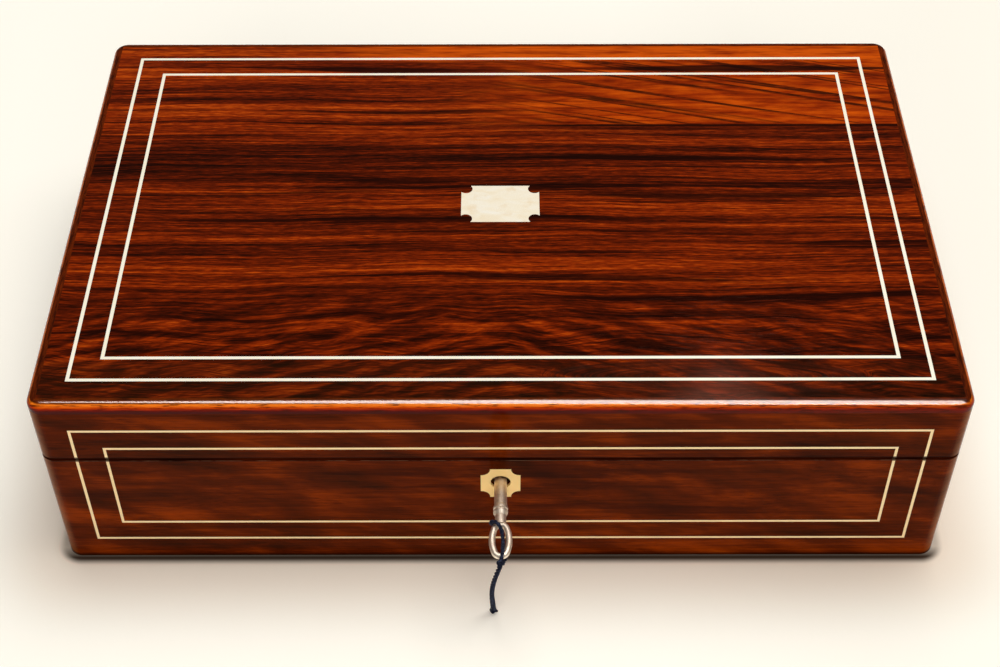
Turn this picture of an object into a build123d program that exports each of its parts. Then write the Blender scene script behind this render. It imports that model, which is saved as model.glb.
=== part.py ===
from build123d import *
import os
from math import asin, atan2, cos, pi, radians, sin, sqrt, tan

# A Victorian writing slope, closed, as a cabinet maker would build it. The carcass is glued up
# as one box of mitred boards and then sawn open along a sloping cut, so that the two halves,
# laid open on a table, make one long sloping desk. Millimetres, +Z up, +X to the right as one
# faces the lock, origin at the centre of the underside, lock and key on the -Y side.

# ---- Case -------------------------------------------------------------------------------
case_length = 352.5
case_depth = 222.0
case_height = 92.0
wall = 9.0
corner_radius = 6.0
top_lip = 4.5            # the part of the top board that lies over the walls and shows as a band
top_edge_radius = 3.2
top_core = 2.6           # the part of the top board that drops in between the walls
banding_width = 4.0      # solid strips round the top board's edge
bottom_thickness = 5.0
bottom_rebate = 4.0      # how far the bottom board reaches under the walls

# ---- The sloping saw cut ------------------------------------------------------------------
kerf = 1.4
hinge_setback = 1.0      # the main hinge line lies this far behind the back face

# ---- Inlaid lines, plaque and escutcheon ----------------------------------------------------
top_line_width = 1.4
front_line_width = 1.1
line_depth = 1.0
top_outer_side = 13.5        # from the end of the case to the line
top_outer_inset = 12.4       # from the front and the back
top_inner_side = 24.9
top_inner_inset = 23.6
front_outer_side = 13.9
front_outer_top = 13.8       # below the top of the case
front_outer_bottom = 11.2    # above the underside
front_inner_side = 25.5
front_inner_top = 23.9
front_inner_bottom = 21.8
plaque_length = 32.3
plaque_width = 22.2
plaque_depth = 1.0
plaque_scoop_radius = 2.7
plaque_scoop_inset = 1.9
escutcheon_width = 15.4
escutcheon_height = 17.0
escutcheon_depth = 1.2
escutcheon_scoop_radius = 3.3
escutcheon_scoop_inset = 0.3
escutcheon_drop = 0.5        # its centre lies this far below the key's axis
keyhole_radius = 3.9

# ---- Key ----------------------------------------------------------------------------------
key_height = 47.0            # of the key's axis above the underside
key_shank_radius = 2.45
key_bore_radius = 1.2
key_bore_end = 0.5           # the bore is this much deeper than the pin it turns on
key_collar_start = 12.4      # measured outwards from the front face
key_collar_radius = 2.8
key_neck_start = 15.6
key_neck_radius = 2.1
key_bow_start = 19.4
key_bow_length = 17.0
key_bow_width = 8.9
key_bow_wire = 2.45
key_bow_end_radius = 2.4     # of the wire's middle line at both ends of the oval
key_bit_reach = 5.4
key_bit_thickness = 1.6
bit_clearance = 0.4

# ---- Box lock -------------------------------------------------------------------------------
lock_length = 50.0
lock_skin = 2.4              # wood left in front of the lock
lock_plate_thickness = 1.4
lock_selvedge = 1.6          # the plate on the rim
lock_drop = 12.0             # the back plate reaches this far below the key's axis
lock_case_length = 42.0
lock_case_drop = 9.0
lock_cap_thickness = 0.8
lock_fit = 0.15              # all round the lock in its mortise
lock_head_room = 0.3         # between the links' eyes and the rim plate
drill_pin_radius = 1.15
bolt_side_clearance = 0.3
bolt_height = 3.8
bolt_over_axis = 3.4         # the bolt's lower edge above the key's axis
bolt_throw = 5.0
bolt_prong_height = 1.8
bolt_prong_thickness = 1.6
bolt_prong_length = 4.6
bolt_upright = 3.0
bolt_tail = 12.0
lock_spring_thickness = 0.4
lock_spring_width = 3.0
link_spacing = 16.0
link_thickness = 2.0
link_width = 3.6
link_gap = 0.8               # between a retracted prong and its link
link_eye_margin = 0.5
link_foot = 0.8              # metal below a link's eye
link_tip_clearance = 0.4     # between a link's tip and the bolt's bar
link_slot_clearance = 0.4
link_plate_length = 50.0
link_plate_thickness = 1.4

# ---- Main hinges ------------------------------------------------------------------------------
hinge_inset = 41.0           # from the end of the case
hinge_length = 50.0
hinge_leaf_width = 8.0
hinge_leaf_thickness = 1.2
hinge_barrel_radius = 2.3
hinge_pin_radius = 1.1
hinge_pin_clearance = 0.05
hinge_knuckle_gap = 0.2
hinge_groove_clearance = 0.3
hinge_screw_pitch = 17.0

# ---- Screws ------------------------------------------------------------------------------------
screw_head_radius = 1.9
screw_shank_radius = 1.0
screw_head_height = 1.1
screw_length = 7.0
screw_slot_width = 0.5
screw_slot_depth = 0.45

# ---- Writing flaps -------------------------------------------------------------------------------
flap_thickness = 5.5
flap_recess = 0.4            # below the rim
flap_side_gap = 0.5
flap_end_gap = 1.0
flap_nose_radius = 2.6       # rounded edge beside the hinges
flap_axis_depth = 1.5        # hinge line below the writing surface
flap_border = 13.0           # veneered border round the leather
leather_thickness = 0.9
flap_hinge_inset = 60.0      # from the end wall
flap_hinge_length = 24.0
flap_leaf_height = 3.4
flap_leaf_thickness = 0.8
flap_barrel_radius = 1.3
flap_pin_radius = 0.55
flap_ledge = 5.0
flap_ledge_clearance = 0.15
catch_inset = 89.0           # from the end wall
catch_length = 16.0
catch_height = 3.2
catch_thickness = 0.8
catch_nose_radius = 1.1
catch_nose_reach = 0.35

# ---- Pen tray and inkwells ----------------------------------------------------------------------
tray_compartment = 48.0      # from the front wall to the divider
divider_thickness = 6.0
divider_lip = 3.0            # the taller front half of the divider
thumb_scoop_radius = 16.0
thumb_scoop_depth = 3.2
cell_length = 46.0
partition_thickness = 4.0
tray_clearance = 0.4
tray_height = 16.0
tray_top_drop = 2.0          # below the rim, over the divider
tray_scoop_radius = 26.0
tray_scoop_depth = 11.0
tray_scoop_margin = 8.0      # at each end of the scoop
bearer_size = 5.0
bottle_clearance = 1.0
bottle_height = 38.0
bottle_corner_radius = 3.0
bottle_shoulder = 3.0
bottle_wall = 3.5
bottle_neck_radius = 11.0
bottle_neck_height = 6.0
bottle_bore_radius = 7.5
cap_radius = 14.0
cap_height = 9.0
cap_wall = 1.6
cap_clearance = 0.2
cap_dome = 2.2
cap_lift = 0.4               # between the cap's skirt and the bottle's shoulder

# ---- Cord on the key ------------------------------------------------------------------------------
loop_diameter = 1.6
tail_diameter = 2.1
knot_radius = 1.6
knot_gap = 0.1               # between the knot and the bow's rim
end_knot_radius = 1.6
# Points chosen by eye, as (to the right, outwards from the front face, above the key's axis).
loop_points = [
    (0.2, 38.3, 1.0), (0.5, 36.9, 2.5), (0.8, 34.9, 2.8), (0.8, 32.4, 1.7), (1.0, 29.6, 0.2),
    (0.9, 27.0, 0.1), (0.5, 24.9, 1.4), (-0.4, 22.7, 2.8), (-2.2, 21.1, 3.1), (-3.8, 20.0, 1.2),
    (-3.6, 19.2, -1.2), (-2.2, 18.6, -3.0), (0.2, 18.8, -3.8), (2.3, 20.4, -3.6), (3.1, 23.2, -3.1),
    (3.1, 26.4, -3.0), (2.9, 29.6, -3.0), (2.3, 33.0, -3.0), (1.2, 35.9, -2.8), (0.5, 37.6, -0.4),
]
tail_points = [
    (-0.2, 38.4, -1.9), (-1.9, 38.3, -8.5), (-3.1, 37.3, -16.0), (-3.5, 35.0, -24.5),
    (-3.2, 32.0, -34.0), (-2.9, 28.2, -44.2),
]

# ---- Values worked out from the sizes above ---------------------------------------------------------
inner_length = case_length - 2 * wall
inner_depth = case_depth - 2 * wall
wall_top = case_height - top_lip
front_face = -case_depth / 2
front_inner_face = front_face + wall
back_inner_face = case_depth / 2 - wall
hinge_y = case_depth / 2 + hinge_setback
hinge_z = case_height / 2    # so that the lid lies flat on the table when it is open
lock_front = front_face + lock_skin
lock_plate_face = front_inner_face - lock_plate_thickness
cap_inside = lock_front + lock_cap_thickness
lock_middle_y = (cap_inside + lock_plate_face) / 2
# Up from the key's axis: the bolt, the prongs in the links' eyes, and the rim plate.
case_floor = key_height - lock_case_drop + lock_cap_thickness
bolt_low = key_height + bolt_over_axis
bolt_high = bolt_low + bolt_height
link_tip = bolt_high + link_tip_clearance
link_eye_low = link_tip + link_foot
prong_low = link_eye_low + link_eye_margin
prong_high = prong_low + bolt_prong_height
link_eye_high = prong_high + link_eye_margin
selvedge_under = link_eye_high + lock_head_room
# The saw cut runs from the hinge line to the top of the rim plate.
over_hinge = selvedge_under - hinge_z
before_hinge = hinge_y - lock_middle_y
slope = atan2(over_hinge, before_hinge) + asin((kerf / 2 + lock_selvedge) / sqrt(over_hinge**2 + before_hinge**2))
big = 2 * (case_length + case_depth + case_height)

# The rim frame has its origin on the main hinge line, X along the case, Y down the slope
# towards the back and Z square to the saw cut. The base lies below it and the lid above it.
rim = Location(Plane(origin=(0, hinge_y, hinge_z), x_dir=(1, 0, 0), z_dir=(0, sin(slope), cos(slope))))


def along_slope(y, n=0.0):
    """The rim frame's Y of a point at the case's Y, n above the saw cut."""
    return (y - hinge_y - n * sin(slope)) / cos(slope)


def saw_cut_height(y):
    """Height of the middle of the saw cut above the underside."""
    return hinge_z + (hinge_y - y) * tan(slope)


def block(x, y, z):
    """A block between pairs of limits, in the case's frame."""
    size = [high - low for low, high in (x, y, z)]
    middle = [(low + high) / 2 for low, high in (x, y, z)]
    return Pos(*middle) * Box(*size)


def rim_block(x, v, n):
    """A block between pairs of limits, in the rim frame."""
    return rim * block(x, v, n)


def x_rod(radius, x, location=None):
    """A rod along X between two limits, on the X axis of a location, the rim frame if none is given."""
    length = x[1] - x[0]
    middle = Pos((x[0] + x[1]) / 2, 0, 0) * Rot(0, 90, 0)
    return (location or rim) * middle * Cylinder(radius, length)


def mitred_frame(length, depth, band):
    """Four flat mitred strips round a rectangle, by the side they lie on."""
    x, y = length / 2, depth / 2
    u, v = x - band, y - band
    return {
        "front": Polygon((-x, -y), (x, -y), (u, -v), (-u, -v), align=None),
        "right": Polygon((x, -y), (x, y), (u, v), (u, -v), align=None),
        "back": Polygon((x, y), (-x, y), (-u, v), (u, v), align=None),
        "left": Polygon((-x, y), (-x, -y), (-u, -v), (-u, v), align=None),
    }


def scooped_plate(length, width, radius, inset):
    """A rectangle with a round bite out of each corner."""
    corners = [(sx * (length / 2 - inset), sy * (width / 2 - inset)) for sx in (-1, 1) for sy in (-1, 1)]
    plate = Rectangle(length, width)
    for corner in corners:
        plate -= Pos(*corner) * Circle(radius)
    return plate


def mirrored_in_cut(shape):
    """A piece of the base turned into its counterpart in the lid."""
    return mirror(shape, about=Plane(rim))


def write(name, *shapes):
    """Writes a node as one STEP file of its separate solids."""
    solids = [solid for shape in shapes for solid in shape.solids()]
    export_step(Compound(children=solids) if len(solids) > 1 else solids[0], f"parts/{name}.step")


below_cut = rim_block((-big, big), (-big, big), (-big, -kerf / 2))
above_cut = rim_block((-big, big), (-big, big), (kerf / 2, big))


# ---- Screws ------------------------------------------------------------------------------------
def screw_blank():
    """A countersunk wood screw without its slot, head up, its face at the origin."""
    head = Pos(0, 0, -screw_head_height / 2) * Cone(screw_shank_radius, screw_head_radius, screw_head_height)
    shank_length = screw_length - screw_head_height
    shank = Pos(0, 0, -screw_head_height - shank_length / 2) * Cylinder(screw_shank_radius, shank_length)
    return head + shank


def screw():
    slot = Pos(0, 0, -screw_slot_depth / 2) * Box(3 * screw_head_radius, screw_slot_width, screw_slot_depth)
    return screw_blank() - slot


# ---- Main hinges ---------------------------------------------------------------------------------
def hinge_segments(middle_x, length, count, gap):
    """The X limits of each knuckle of a hinge."""
    pitch = length / count
    start = middle_x - length / 2
    return [(start + i * pitch + gap / 2, start + (i + 1) * pitch - gap / 2) for i in range(count)]


def main_hinge_leaf(middle_x, own):
    """The base's leaf of a main hinge, with the knuckles whose numbers are in own."""
    segments = hinge_segments(middle_x, hinge_length, 5, hinge_knuckle_gap)
    limits = (middle_x - hinge_length / 2, middle_x + hinge_length / 2)
    face, back = -kerf / 2, -kerf / 2 - hinge_leaf_thickness
    near = -(hinge_barrel_radius + hinge_groove_clearance)
    leaf = rim_block(limits, (-hinge_setback - hinge_leaf_width, near), (back, face))
    for i in own:
        leaf += rim_block(segments[i], (near - hinge_leaf_thickness, 0), (back, face))
        leaf += x_rod(hinge_barrel_radius, segments[i])
    leaf -= x_rod(hinge_pin_radius + hinge_pin_clearance, (-big, big))
    for place in hinge_screw_places(middle_x):
        leaf -= place * screw_blank()
    return leaf


def hinge_screw_places(middle_x):
    near = -(hinge_barrel_radius + hinge_groove_clearance)
    v = (near - hinge_setback - hinge_leaf_width) / 2
    return [rim * Pos(middle_x + i * hinge_screw_pitch, v, -kerf / 2) for i in (-1, 0, 1)]


def main_hinge_pocket(middle_x):
    """What a main hinge takes out of the base's back wall."""
    limits = (middle_x - hinge_length / 2, middle_x + hinge_length / 2)
    barrel = x_rod(hinge_barrel_radius + hinge_groove_clearance, limits)
    pocket = barrel + rim_block(
        limits, (-hinge_setback - hinge_leaf_width, hinge_barrel_radius), (-kerf / 2 - hinge_leaf_thickness, 0)
    )
    for place in hinge_screw_places(middle_x):
        pocket += place * screw_blank()
    return pocket


hinge_middle = case_length / 2 - hinge_inset - hinge_length / 2
hinge_middles = {"left": -hinge_middle, "right": hinge_middle}
hinge_pockets = [main_hinge_pocket(x) for x in hinge_middles.values()]


# ---- Flap hinges and flaps -------------------------------------------------------------------------
flap_face = -kerf / 2 - flap_recess
flap_rear = along_slope(back_inner_face) - flap_end_gap
flap_axis = rim * Pos(0, flap_rear + flap_end_gap / 2, flap_face - flap_axis_depth)
flap_barrel_clear = flap_barrel_radius + hinge_groove_clearance
flap_hinge_middle = inner_length / 2 - flap_hinge_inset - flap_hinge_length / 2
flap_hinge_middles = [-flap_hinge_middle, flap_hinge_middle]
divider_front = front_inner_face + tray_compartment
divider_step = divider_front + divider_lip
divider_back = divider_front + divider_thickness


def flap_hinge_plate(middle_x, side):
    """The upright leaf of a flap hinge: side 1 is let into the wall, side -1 into the flap's edge."""
    limits = (middle_x - flap_hinge_length / 2, middle_x + flap_hinge_length / 2)
    v = sorted((side * flap_end_gap / 2, side * (flap_end_gap / 2 + flap_leaf_thickness)))
    return flap_axis * block(limits, v, (-flap_leaf_height, 0))


def flap_hinge_leaf(middle_x, side, own):
    segments = hinge_segments(middle_x, flap_hinge_length, 3, hinge_knuckle_gap)
    leaf = flap_hinge_plate(middle_x, side)
    for i, limits in enumerate(segments):
        if i in own:
            leaf += x_rod(flap_barrel_radius, limits, flap_axis)
        else:
            room = (limits[0] - hinge_knuckle_gap, limits[1] + hinge_knuckle_gap)
            leaf -= x_rod(flap_barrel_clear, room, flap_axis)
    return leaf - x_rod(flap_pin_radius + hinge_pin_clearance, (-big, big), flap_axis)


def flap_hinge_pocket(middle_x, side):
    limits = (middle_x - flap_hinge_length / 2, middle_x + flap_hinge_length / 2)
    return flap_hinge_plate(middle_x, side) + x_rod(flap_barrel_clear, limits, flap_axis)


def flap_board(front):
    """A flap from the hinge side to its front edge, in the base, with a rounded edge at the hinges."""
    half = inner_length / 2 - flap_side_gap
    board = rim_block((-half, half), (front, flap_rear), (flap_face - flap_thickness, flap_face))
    nose = board.edges().filter_by(Axis.X).sort_by(Axis((0, 0, 0), (0, 1, 1)))[-1]
    board = fillet(nose, flap_nose_radius)
    return board - flap_leather(front)


def flap_leather(front):
    half = inner_length / 2 - flap_side_gap - flap_border
    v = (front + flap_border, flap_rear - flap_border)
    return rim_block((-half, half), v, (flap_face - leather_thickness, flap_face))


def catch_plate(x, front):
    """A plate let into a flap's front edge, with a small round nose that holds the flap shut."""
    middle_n = flap_face - flap_thickness / 2
    plate = rim_block(
        (x - catch_length / 2, x + catch_length / 2),
        (front, front + catch_thickness),
        (middle_n - catch_height / 2, middle_n + catch_height / 2),
    )
    nose = rim * Pos(x, front + catch_nose_radius - catch_nose_reach, middle_n) * Sphere(catch_nose_radius)
    room = rim_block((-big, big), (-big, front + catch_thickness), (-big, big))
    return plate + (nose & room)


def strike_plate(x):
    """The plate in the front wall that the nose snaps into."""
    middle_n = flap_face - flap_thickness / 2
    inner = along_slope(front_inner_face, middle_n)
    height = catch_height + 1.0
    plate = rim_block(
        (x - catch_length / 2, x + catch_length / 2),
        (inner - catch_thickness, inner),
        (middle_n - height / 2, middle_n + height / 2),
    )
    return plate


base_flap_front = along_slope(divider_step) + flap_end_gap
lid_flap_front = along_slope(front_inner_face) + flap_end_gap
base_flap = flap_board(base_flap_front)
lid_flap_blank = flap_board(lid_flap_front)
catch_middle = inner_length / 2 - catch_inset - catch_length / 2
catch_places = [-catch_middle, catch_middle]
catches = [catch_plate(x, lid_flap_front) for x in catch_places]
strikes = [strike_plate(x) for x in catch_places]
for middle in flap_hinge_middles:
    base_flap -= flap_hinge_pocket(middle, -1)
    lid_flap_blank -= flap_hinge_pocket(middle, -1)
for catch in catches:
    lid_flap_blank -= catch

ledge_top = flap_face - flap_thickness - flap_ledge_clearance


def side_ledges(cavity):
    """Strips on the side walls that a flap lies on."""
    ledges = []
    for side in (-1, 1):
        x = sorted((side * inner_length / 2, side * (inner_length / 2 - flap_ledge)))
        ledges.append(rim_block(x, (-big, big), (ledge_top - flap_ledge, ledge_top)) & cavity)
    return ledges


base_cavity = block((-inner_length / 2, inner_length / 2), (divider_back, back_inner_face), (0, case_height))
# The lid's ledges are made below the cut, as the base's are, and then mirrored in it.
lid_front_at_ledge = along_slope(front_inner_face, -ledge_top)
lid_back_at_ledge = along_slope(back_inner_face, -ledge_top + flap_ledge)
lid_ledges = [
    rim_block(
        sorted((side * inner_length / 2, side * (inner_length / 2 - flap_ledge))),
        (lid_front_at_ledge, lid_back_at_ledge),
        (ledge_top - flap_ledge, ledge_top),
    )
    for side in (-1, 1)
]
lid_ledges.append(
    rim_block(
        (-inner_length / 2 + flap_ledge, inner_length / 2 - flap_ledge),
        (lid_front_at_ledge, lid_front_at_ledge + flap_ledge),
        (ledge_top - flap_ledge, ledge_top),
    )
)

# ---- Box lock --------------------------------------------------------------------------------------
link_middles = [-link_spacing / 2, link_spacing / 2]
lock_limits = (-lock_length / 2, lock_length / 2)
case_limits = (-lock_case_length / 2, lock_case_length / 2)
under_selvedge = rim_block((-big, big), (-big, big), (-big, -kerf / 2 - lock_selvedge))


def grown(limits, by):
    return (limits[0] - by, limits[1] + by)


def lock_envelope(fit):
    """The mortise, or with no fit the outside, of the lock."""
    top = selvedge_under + 2 * wall
    plate = block(
        grown(lock_limits, fit), (lock_plate_face - fit, front_inner_face + fit), (key_height - lock_drop - fit, top)
    )
    case = block(grown(case_limits, fit), (lock_front - fit, lock_plate_face), (key_height - lock_case_drop - fit, top))
    selvedge = block(grown(lock_limits, fit), (lock_front - fit, front_inner_face + fit), (0, case_height))
    selvedge &= rim_block((-big, big), (-big, big), (-kerf / 2 - lock_selvedge - fit, big))
    return plate + case + selvedge


def key_passage(y, radius, clearance):
    """A keyhole: a round hole for the shank over a slot for the bit."""
    middle, depth = (y[0] + y[1]) / 2, y[1] - y[0]
    hole = Pos(0, middle, key_height) * Rot(90, 0, 0) * Cylinder(radius, depth)
    half = key_bit_thickness / 2 + clearance
    slot = block((-half, half), y, (key_height - key_bit_reach - clearance, key_height))
    return hole + slot


def lock_plate():
    """The rim plate and the back plate, one bent piece of brass."""
    back = block(lock_limits, (lock_plate_face, front_inner_face), (key_height - lock_drop, case_height))
    selvedge = block(lock_limits, (lock_front, front_inner_face), (0, case_height))
    selvedge &= rim_block((-big, big), (-big, big), (-kerf / 2 - lock_selvedge, -kerf / 2))
    plate = selvedge + (back & under_selvedge)
    for x in link_middles:
        half = link_thickness / 2 + link_slot_clearance
        y_half = link_width / 2 + link_slot_clearance
        plate -= block((x - half, x + half), (lock_middle_y - y_half, lock_middle_y + y_half), (key_height, case_height))
    plate -= y_rod(drill_pin_radius, (lock_plate_face - wall, front_inner_face + wall))
    for place in lock_screw_places:
        plate -= place * screw_blank()
    return plate


def y_rod(radius, y, x=0.0, z=key_height):
    return Pos(x, (y[0] + y[1]) / 2, z) * Rot(90, 0, 0) * Cylinder(radius, y[1] - y[0])


def lock_cap():
    """The box that covers the works, open towards the back plate and the rim plate."""
    outside = block(case_limits, (lock_front, lock_plate_face), (key_height - lock_case_drop, case_height))
    inside = block(
        grown(case_limits, -lock_cap_thickness), (cap_inside, lock_plate_face + 1), (case_floor, case_height + 1)
    )
    cap = (outside - inside) & under_selvedge
    return cap - key_passage((lock_front - 1, cap_inside + 1), keyhole_radius, bit_clearance)


def lock_bolt():
    """The sliding bolt, drawn back: a bar with a notch for the key's bit, and two prongs."""
    bar_y = (cap_inside + bolt_side_clearance, lock_plate_face - bolt_side_clearance)
    prong_y = (lock_middle_y - bolt_prong_thickness / 2, lock_middle_y + bolt_prong_thickness / 2)
    tips = [x - link_thickness / 2 - link_gap for x in link_middles]
    left = tips[0] - bolt_prong_length - bolt_upright
    bolt = block((left, bolt_tail), bar_y, (bolt_low, bolt_high))
    for tip in tips:
        root = tip - bolt_prong_length
        bolt += block((root - bolt_upright, root), prong_y, (bolt_high, prong_high))
        bolt += block((root, tip), prong_y, (prong_low, prong_high))
    # The bit pushes one side of the notch while it is above the bar's lower edge.
    meet = sqrt(key_bit_reach**2 - bolt_over_axis**2)
    angle = atan2(meet, bolt_over_axis)
    reach = meet + key_bit_thickness / 2 + bit_clearance
    notch = (-reach - bolt_throw * (pi / 2 - angle) / pi, reach - bolt_throw * (pi / 2 + angle) / pi)
    return bolt - block(notch, (-big, big), (bolt_low - 1, key_height + key_bit_reach + bit_clearance / 2))


def lock_spring():
    """A bent leaf spring that bears on the bolt from the floor of the case."""
    room = bolt_low - case_floor
    outer = (room - bolt_side_clearance) / 2
    middle_x = lock_case_length / 2 - lock_cap_thickness - outer - bolt_side_clearance
    middle_z = case_floor + bolt_side_clearance / 2 + outer
    y = (lock_middle_y - lock_spring_width / 2, lock_middle_y + lock_spring_width / 2)
    ring = y_rod(outer, y, middle_x, middle_z) - y_rod(outer - lock_spring_thickness, y, middle_x, middle_z)
    return ring & block((middle_x, middle_x + 2 * outer), (-big, big), (0, case_height))


def link_plate():
    """The lid's plate with two eyed links that drop through the rim plate."""
    face = kerf / 2
    plate = block(
        (-link_plate_length / 2, link_plate_length / 2), (lock_front, front_inner_face - lock_fit), (0, case_height)
    ) & rim_block((-big, big), (-big, big), (face, face + link_plate_thickness))
    prong_middle_y = lock_middle_y
    for x in link_middles:
        x_limits = (x - link_thickness / 2, x + link_thickness / 2)
        y_limits = (lock_middle_y - link_width / 2, lock_middle_y + link_width / 2)
        link = block(x_limits, y_limits, (link_tip, case_height))
        link &= rim_block((-big, big), (-big, big), (-big, face + link_plate_thickness / 2))
        eye_half = bolt_prong_thickness / 2 + link_eye_margin / 2
        eye_y = (prong_middle_y - eye_half, prong_middle_y + eye_half)
        plate += link - block((-big, big), eye_y, (link_eye_low, link_eye_high))
    for place in link_screw_places:
        plate -= place * screw_blank()
    return plate


screw_y = (lock_front + front_inner_face) / 2
screw_x = (lock_case_length / 2 + lock_length / 2) / 2 + 0.2
lock_screw_places = [rim * Pos(s * screw_x, along_slope(screw_y), -kerf / 2) for s in (-1, 1)]
link_screw_places = [rim * Pos(s * screw_x, along_slope(screw_y), kerf / 2) * Rot(180, 0, 0) for s in (-1, 1)]
link_pocket = block(
    (-link_plate_length / 2, link_plate_length / 2), (lock_front, front_inner_face - lock_fit), (0, case_height)
) & rim_block((-big, big), (-big, big), (-big, kerf / 2 + link_plate_thickness))
drill_pin = y_rod(drill_pin_radius, (front_face + escutcheon_depth, front_inner_face))

# ---- Escutcheon and plaque ---------------------------------------------------------------------------
escutcheon_plane = Plane(
    origin=(0, front_face + escutcheon_depth, key_height - escutcheon_drop), x_dir=(1, 0, 0), z_dir=(0, -1, 0)
)
escutcheon_blank = extrude(
    escutcheon_plane
    * scooped_plate(escutcheon_width, escutcheon_height, escutcheon_scoop_radius, escutcheon_scoop_inset),
    escutcheon_depth,
)
keyhole = key_passage((front_face - 1, lock_front + 1), keyhole_radius, bit_clearance)
plaque = extrude(
    Pos(0, 0, case_height - plaque_depth)
    * scooped_plate(plaque_length, plaque_width, plaque_scoop_radius, plaque_scoop_inset),
    plaque_depth,
)

# ---- Inlaid lines ----------------------------------------------------------------------------------------


def top_lines(side, inset):
    frame = mitred_frame(case_length - 2 * side, case_depth - 2 * inset, top_line_width)
    return [extrude(Pos(0, 0, case_height - line_depth) * strip, line_depth) for strip in frame.values()]


def front_lines(side, top, bottom):
    height = case_height - top - bottom
    plane = Plane(
        origin=(0, front_face + line_depth, bottom + height / 2), x_dir=(1, 0, 0), z_dir=(0, -1, 0)
    )
    frame = mitred_frame(case_length - 2 * side, height, front_line_width)
    return [extrude(plane * strip, line_depth) for strip in frame.values()]


top_outer_lines = top_lines(top_outer_side, top_outer_inset)
top_inner_lines = top_lines(top_inner_side, top_inner_inset)
front_all_lines = front_lines(front_outer_side, front_outer_top, front_outer_bottom) + front_lines(
    front_inner_side, front_inner_top, front_inner_bottom
)


def halves(strips, half):
    """The pieces of some strips that lie on one side of the saw cut."""
    return [solid for strip in strips for solid in (strip & half).solids()]


# ---- Carcass -----------------------------------------------------------------------------------------------
outline = extrude(RectangleRounded(case_length, case_depth, corner_radius), case_height)
bottom_half = bottom_rebate - wall
bottom_panel = block(
    (-case_length / 2 - bottom_half, case_length / 2 + bottom_half),
    (-case_depth / 2 - bottom_half, case_depth / 2 + bottom_half),
    (0, bottom_thickness),
)
whole_walls = {
    side: (extrude(strip, wall_top) & outline) - bottom_panel
    for side, strip in mitred_frame(case_length, case_depth, wall).items()
}
for strip in front_all_lines:
    whole_walls["front"] -= strip
base_walls = {side: board & below_cut for side, board in whole_walls.items()}
lid_walls = {side: board & above_cut for side, board in whole_walls.items()}

for pocket in [lock_envelope(lock_fit), escutcheon_blank, keyhole]:
    base_walls["front"] -= pocket
for place in lock_screw_places:
    base_walls["front"] -= place * screw_blank()
lid_walls["front"] -= link_pocket
for place in link_screw_places:
    lid_walls["front"] -= place * screw_blank()
for strike in strikes:
    lid_walls["front"] -= mirrored_in_cut(strike)
for pocket in hinge_pockets:
    base_walls["back"] -= pocket
    lid_walls["back"] -= mirrored_in_cut(pocket)
for middle in flap_hinge_middles:
    base_walls["back"] -= flap_hinge_pocket(middle, 1)
    lid_walls["back"] -= mirrored_in_cut(flap_hinge_pocket(middle, 1))

lip = extrude(Pos(0, 0, wall_top) * RectangleRounded(case_length, case_depth, corner_radius), top_lip)
lip = fillet(lip.edges().group_by(Axis.Z)[-1], top_edge_radius)
core = block(
    (-inner_length / 2, inner_length / 2), (front_inner_face, back_inner_face), (wall_top - top_core, wall_top)
)
banding = [
    extrude(Pos(0, 0, wall_top) * strip, top_lip) & lip
    for strip in mitred_frame(case_length, case_depth, banding_width).values()
]
field = block(
    (banding_width - case_length / 2, case_length / 2 - banding_width),
    (banding_width - case_depth / 2, case_depth / 2 - banding_width),
    (wall_top, case_height),
)
top_panel = field + core
for inlay in top_outer_lines + top_inner_lines + [plaque]:
    top_panel -= inlay

# ---- Fittings of the base -------------------------------------------------------------------------------------
tray_zone = block((-inner_length / 2, inner_length / 2), (front_inner_face, divider_front), (0, case_height))
below_flap_face = rim_block((-big, big), (-big, big), (-big, flap_face))
below_flap = rim_block((-big, big), (-big, big), (-big, ledge_top))


def divider():
    """The board between the tray and the papers: a lip as high as the flap, and a step under it."""
    x = (-inner_length / 2, inner_length / 2)
    front_half = block(x, (divider_front, divider_step), (bottom_thickness, case_height)) & below_flap_face
    back_half = block(x, (divider_step, divider_back), (bottom_thickness, case_height)) & below_flap
    top = saw_cut_height(divider_step) + flap_face
    scoop = y_rod(
        thumb_scoop_radius, (divider_front - 1, divider_step), 0.0, top + thumb_scoop_radius - thumb_scoop_depth
    )
    return (front_half - scoop) + back_half


def partition(side):
    x = sorted((side * (inner_length / 2 - cell_length), side * (inner_length / 2 - cell_length - partition_thickness)))
    return (block(x, (front_inner_face, divider_front), (bottom_thickness, case_height)) & below_flap_face)


tray_half = inner_length / 2 - cell_length - partition_thickness
tray_top = saw_cut_height(divider_front) + flap_face - tray_top_drop


def pen_tray():
    """A block with a long scoop that has round ends."""
    x = (-tray_half + tray_clearance, tray_half - tray_clearance)
    y = (front_inner_face + tray_clearance, divider_front - tray_clearance)
    tray = block(x, y, (tray_top - tray_height, tray_top))
    middle_y = (y[0] + y[1]) / 2
    axis_z = tray_top + tray_scoop_radius - tray_scoop_depth
    half_mouth = sqrt(tray_scoop_radius**2 - (axis_z - tray_top) ** 2)
    straight = x[1] - tray_scoop_margin - half_mouth
    scoop = x_rod(tray_scoop_radius, (-straight, straight), Pos(0, middle_y, axis_z))
    for end in (-straight, straight):
        scoop += Pos(end, middle_y, axis_z) * Sphere(tray_scoop_radius)
    tray -= scoop
    return fillet(tray.edges().filter_by(Axis.X).group_by(Axis.Z)[-1], 1.0)


def bearers():
    """Strips on the partitions that the tray lies on."""
    low = tray_top - tray_height - bearer_size
    made = []
    for side in (-1, 1):
        x = sorted((side * tray_half, side * (tray_half - bearer_size)))
        made.append(block(x, (front_inner_face, divider_front), (low, low + bearer_size)))
    return made


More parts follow.
